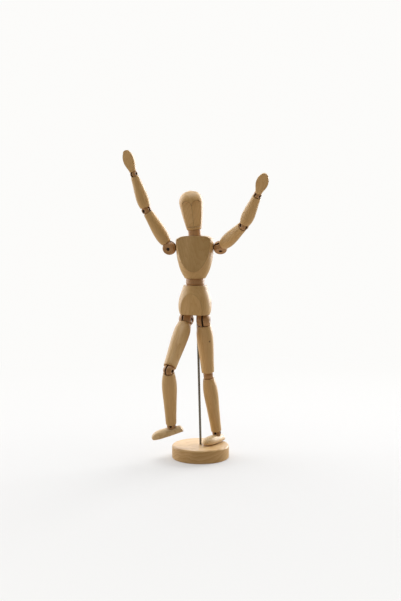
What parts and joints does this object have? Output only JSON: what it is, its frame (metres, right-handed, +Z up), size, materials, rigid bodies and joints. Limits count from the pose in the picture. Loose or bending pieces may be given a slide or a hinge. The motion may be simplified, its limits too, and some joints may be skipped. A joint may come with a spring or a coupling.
{
  "type": "artist mannequin",
  "caption": "Jointed wooden artist's mannequin, arms raised and one knee lifted, held over a round wooden base by a thin steel rod.",
  "frame": {"origin": "centre of the underside of the round base", "axes": "+Z up; the figure faces -Y, its own left side is towards +X"},
  "size_m": [0.1514, 0.1181, 0.3374],
  "materials": {
    "beech": "fine sanded, unvarnished",
    "joint_beech": "fine sanded, unvarnished",
    "base_beech": "fine sanded, unvarnished",
    "steel": "drawn wire and rod"
  },
  "bodies": {
    "base": {"base": "base_beech"},
    "support_rod": {"support_rod": "steel"},
    "pelvis": {"pelvis": "beech", "pelvis_pin": "steel", "hip_springs": "steel"},
    "waist_ball": {"waist_ball": "joint_beech"},
    "waist_spring": {"waist_spring": "steel"},
    "chest": {"chest": "beech", "shoulder_spring": "steel"},
    "neck_bead": {"neck_bead": "joint_beech"},
    "neck_spring": {"neck_spring": "steel"},
    "head": {"head": "beech"},
    "right_shoulder": {"right_shoulder_ball": "joint_beech", "right_shoulder_pin": "steel"},
    "right_upper_arm": {"right_upper_arm": "beech", "right_upper_arm_spring": "steel"},
    "right_elbow": {"right_elbow_ball": "joint_beech", "right_elbow_pin": "steel"},
    "right_forearm": {"right_forearm": "beech", "right_forearm_spring": "steel"},
    "right_wrist": {"right_wrist_ball": "joint_beech", "right_wrist_pin": "steel"},
    "right_hand": {"right_hand": "beech", "right_hand_hook": "steel"},
    "left_shoulder": {"left_shoulder_ball": "joint_beech", "left_shoulder_pin": "steel"},
    "left_upper_arm": {"left_upper_arm": "beech", "left_upper_arm_spring": "steel"},
    "left_elbow": {"left_elbow_ball": "joint_beech", "left_elbow_pin": "steel"},
    "left_forearm": {"left_forearm": "beech", "left_forearm_spring": "steel"},
    "left_wrist": {"left_wrist_ball": "joint_beech", "left_wrist_pin": "steel"},
    "left_hand": {"left_hand": "beech", "left_hand_hook": "steel"},
    "right_hip": {"right_hip_ball": "joint_beech", "right_hip_pin": "steel"},
    "right_thigh": {"right_thigh": "beech", "right_thigh_spring": "steel"},
    "right_knee": {"right_knee_ball": "joint_beech", "right_knee_pin": "steel"},
    "right_shin": {"right_shin": "beech", "right_shin_spring": "steel"},
    "right_ankle": {"right_ankle_ball": "joint_beech", "right_ankle_pin": "steel"},
    "right_foot": {"right_foot": "beech", "right_foot_hook": "steel"},
    "left_hip": {"left_hip_ball": "joint_beech", "left_hip_pin": "steel"},
    "left_thigh": {"left_thigh": "beech", "left_thigh_spring": "steel"},
    "left_knee": {"left_knee_ball": "joint_beech", "left_knee_pin": "steel"},
    "left_shin": {"left_shin": "beech", "left_shin_spring": "steel"},
    "left_ankle": {"left_ankle_ball": "joint_beech", "left_ankle_pin": "steel"},
    "left_foot": {"left_foot": "beech", "left_foot_hook": "steel"}
  },
  "joints": [
    {"name": "figure_turn", "type": "hinge", "parent": "base", "child": "support_rod", "pos_m": [0.00045, 0, 0], "axis": [-0.0244, 0, 0.9997], "continuous": true},
    {"name": "figure_lift", "type": "slide", "parent": "support_rod", "child": "pelvis", "axis": [-0.0244, 0, 0.9997], "range_m": [0, 0.02]},
    {"name": "waist_turn", "type": "hinge", "parent": "pelvis", "child": "waist_ball", "pos_m": [-0.00575, -0.00872, 0.1968], "axis": [0.01, -0.0031, 0.9999], "range_deg": [-60, 60]},
    {"name": "waist_bend", "type": "hinge", "parent": "waist_ball", "child": "waist_spring", "pos_m": [-0.00575, -0.00872, 0.1968], "axis": [-0.9563, 0.2924, 0.0105], "range_deg": [-20, 20]},
    {"name": "waist_lean", "type": "hinge", "parent": "waist_spring", "child": "chest", "pos_m": [-0.00575, -0.00872, 0.1968], "axis": [0.2924, 0.9563, 0], "range_deg": [-20, 20], "deforming": ["waist_spring"]},
    {"name": "neck_turn", "type": "hinge", "parent": "chest", "child": "neck_bead", "pos_m": [-0.00629, -0.00865, 0.2492], "axis": [0.1132, 0, -0.9936], "range_deg": [-90, 90]},
    {"name": "head_nod", "type": "hinge", "parent": "neck_bead", "child": "neck_spring", "pos_m": [-0.00629, -0.00865, 0.2492], "axis": [0.9936, 0, 0.1132], "range_deg": [-20, 20]},
    {"name": "head_tilt", "type": "hinge", "parent": "neck_spring", "child": "head", "pos_m": [-0.00629, -0.00865, 0.2492], "axis": [0, 1, 0], "range_deg": [-20, 20], "deforming": ["neck_spring"]},
    {"name": "right_shoulder_swing", "type": "hinge", "parent": "chest", "child": "right_shoulder", "pos_m": [-0.03377, -0.00528, 0.2331], "axis": [-0.9925, 0.1219, -0.0105], "range_deg": [-90, 90], "deforming": ["shoulder_spring"]},
    {"name": "right_arm_raise", "type": "hinge", "parent": "right_shoulder", "child": "right_upper_arm", "pos_m": [-0.03377, -0.00528, 0.2331], "axis": [0.298, 0.9152, 0.2714], "range_deg": [-80, 34], "deforming": ["right_upper_arm_spring"]},
    {"name": "right_elbow_turn", "type": "hinge", "parent": "right_upper_arm", "child": "right_elbow", "pos_m": [-0.05847, -0.00938, 0.27405], "axis": [0.5146, 0.0854, -0.8531], "range_deg": [-90, 90], "deforming": ["right_upper_arm_spring"]},
    {"name": "right_elbow_bend", "type": "hinge", "parent": "right_elbow", "child": "right_forearm", "pos_m": [-0.05847, -0.00938, 0.27405], "axis": [0.6255, 0.707, 0.33], "range_deg": [-75, 52], "deforming": ["right_forearm_spring"]},
    {"name": "right_wrist_turn", "type": "hinge", "parent": "right_forearm", "child": "right_wrist", "pos_m": [-0.07126, -0.0158, 0.31205], "axis": [-0.3149, -0.1582, 0.9358], "range_deg": [-90, 90], "deforming": ["right_forearm_spring"]},
    {"name": "right_wrist_bend", "type": "hinge", "parent": "right_wrist", "child": "right_hand", "pos_m": [-0.07126, -0.0158, 0.31205], "axis": [0.7768, -0.6101, 0.156], "range_deg": [-40, 40], "deforming": ["right_hand_hook"]},
    {"name": "left_shoulder_swing", "type": "hinge", "parent": "chest", "child": "left_shoulder", "pos_m": [0.02151, -0.01206, 0.23369], "axis": [0.9925, -0.1219, 0.0105], "range_deg": [-90, 90], "deforming": ["shoulder_spring"]},
    {"name": "left_arm_raise", "type": "hinge", "parent": "left_shoulder", "child": "left_upper_arm", "pos_m": [0.02151, -0.01206, 0.23369], "axis": [0.0123, -0.5702, -0.8214], "range_deg": [-80, 44], "deforming": ["left_upper_arm_spring"]},
    {"name": "left_elbow_turn", "type": "hinge", "parent": "left_upper_arm", "child": "left_elbow", "pos_m": [0.04522, -0.04618, 0.25773], "axis": [0.4939, -0.7108, 0.5008], "range_deg": [-90, 90], "deforming": ["left_upper_arm_spring"]},
    {"name": "left_elbow_bend", "type": "hinge", "parent": "left_elbow", "child": "left_forearm", "pos_m": [0.04522, -0.04618, 0.25773], "axis": [-0.8588, -0.5117, -0.0251], "range_deg": [-75, 44], "deforming": ["left_forearm_spring"]},
    {"name": "left_wrist_turn", "type": "hinge", "parent": "left_forearm", "child": "left_wrist", "pos_m": [0.05794, -0.06906, 0.28876], "axis": [-0.3135, 0.5635, -0.7643], "range_deg": [-90, 90], "deforming": ["left_forearm_spring"]},
    {"name": "left_wrist_bend", "type": "hinge", "parent": "left_wrist", "child": "left_hand", "pos_m": [0.05794, -0.06906, 0.28876], "axis": [0.5735, -0.5138, -0.638], "range_deg": [-40, 40], "deforming": ["left_hand_hook"]},
    {"name": "right_hip_turn", "type": "hinge", "parent": "pelvis", "child": "right_hip", "pos_m": [-0.01554, -0.00572, 0.1549], "axis": [0.01, -0.0031, 0.9999], "range_deg": [-60, 45], "deforming": ["hip_springs"]},
    {"name": "right_hip_swing", "type": "hinge", "parent": "right_hip", "child": "right_thigh", "pos_m": [-0.01554, -0.00572, 0.1549], "axis": [0.86, -0.5094, 0.0312], "range_deg": [-38, 42], "deforming": ["right_thigh_spring"]},
    {"name": "right_knee_turn", "type": "hinge", "parent": "right_thigh", "child": "right_knee", "pos_m": [-0.03384, -0.03971, 0.10435], "axis": [-0.2877, -0.5344, -0.7948], "range_deg": [-60, 60], "deforming": ["right_thigh_spring"]},
    {"name": "right_knee_bend", "type": "hinge", "parent": "right_knee", "child": "right_shin", "pos_m": [-0.03384, -0.03971, 0.10435], "axis": [-0.8066, 0.5642, 0.1762], "range_deg": [-7, 75], "deforming": ["right_shin_spring"]},
    {"name": "right_ankle_turn", "type": "hinge", "parent": "right_shin", "child": "right_ankle", "pos_m": [-0.03203, -0.01686, 0.03949], "axis": [-0.0263, -0.3322, 0.9429], "range_deg": [-90, 90], "deforming": ["right_shin_spring"]},
    {"name": "right_ankle_bend", "type": "hinge", "parent": "right_ankle", "child": "right_foot", "pos_m": [-0.03203, -0.01686, 0.03949], "axis": [0.1204, 0.9761, 0.1812], "range_deg": [-30, 30], "deforming": ["right_foot_hook"]},
    {"name": "left_hip_turn", "type": "hinge", "parent": "pelvis", "child": "left_hip", "pos_m": [0.0032, -0.01145, 0.1547], "axis": [-0.01, 0.0031, -0.9999], "range_deg": [-4, 60], "deforming": ["hip_springs"]},
    {"name": "left_hip_swing", "type": "hinge", "parent": "left_hip", "child": "left_thigh", "pos_m": [0.0032, -0.01145, 0.1547], "axis": [0.9818, -0.1831, 0.0514], "range_deg": [-2.5, 2], "deforming": ["left_thigh_spring"]},
    {"name": "left_knee_turn", "type": "hinge", "parent": "left_thigh", "child": "left_knee", "pos_m": [0.00855, -0.0003, 0.09231], "axis": [-0.0841, -0.1754, 0.9809], "range_deg": [-5.5, 60], "deforming": ["left_thigh_spring"]},
    {"name": "left_knee_bend", "type": "hinge", "parent": "left_knee", "child": "left_shin", "pos_m": [0.00855, -0.0003, 0.09231], "axis": [-0.9879, 0.0897, -0.1269], "range_deg": [-62, 4], "deforming": ["left_shin_spring"]},
    {"name": "left_ankle_turn", "type": "hinge", "parent": "left_shin", "child": "left_ankle", "pos_m": [0.01813, 0.00999, 0.02496], "axis": [0.1393, 0.1495, -0.9789], "range_deg": [-50, 5.5], "deforming": ["left_shin_spring"]},
    {"name": "left_ankle_bend", "type": "hinge", "parent": "left_ankle", "child": "left_foot", "pos_m": [0.01813, 0.00999, 0.02496], "axis": [0.4067, 0.9135, 0], "range_deg": [-10, 15], "deforming": ["left_foot_hook"]}
  ]
}
